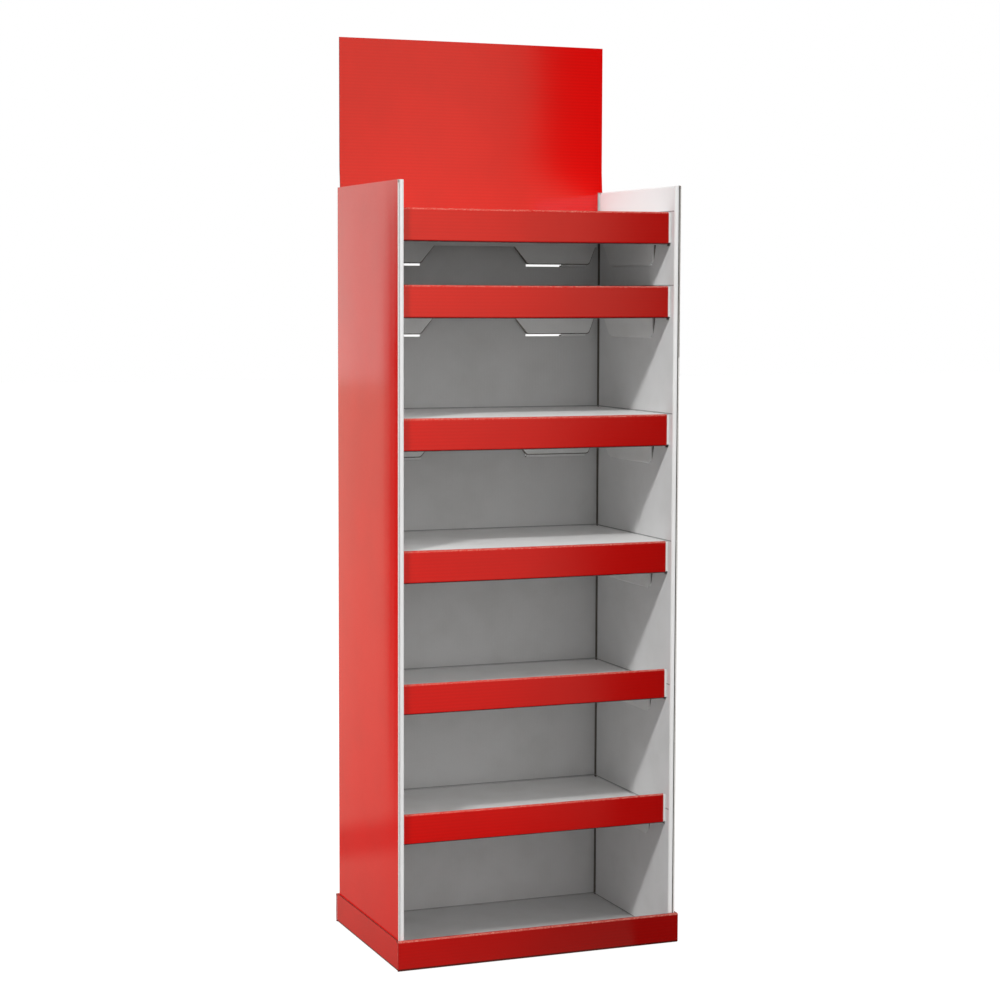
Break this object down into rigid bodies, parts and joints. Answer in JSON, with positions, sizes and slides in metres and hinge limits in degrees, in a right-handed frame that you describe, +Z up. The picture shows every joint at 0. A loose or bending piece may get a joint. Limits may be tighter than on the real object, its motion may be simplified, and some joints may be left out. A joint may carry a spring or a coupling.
{
  "type": "cardboard display stand",
  "caption": "Free-standing display stand folded from corrugated board, with a base tray, double side walls, hooked shelves with red lips and a tall header board.",
  "frame": {"origin": "centre of the underside of the base tray", "axes": "+Z up, +X to the right seen from the open front, +Y to the rear, so the open front faces -Y"},
  "size_m": [0.6, 0.4, 1.829],
  "materials": {
    "printed_board": "gloss red print on white corrugated board",
    "white_board": "plain white corrugated board",
    "shelf_board": "white corrugated board with a gloss red printed lip"
  },
  "bodies": {
    "root": {"base_tray": "printed_board", "bottom_board": "white_board", "outer_wrap": "printed_board", "left_liner": "white_board", "right_liner": "white_board", "header_panel": "printed_board", "shelf_1": "shelf_board", "shelf_2": "shelf_board", "shelf_3": "shelf_board", "shelf_4": "shelf_board", "shelf_5": "shelf_board", "shelf_6": "shelf_board"}
  },
  "joints": []
}
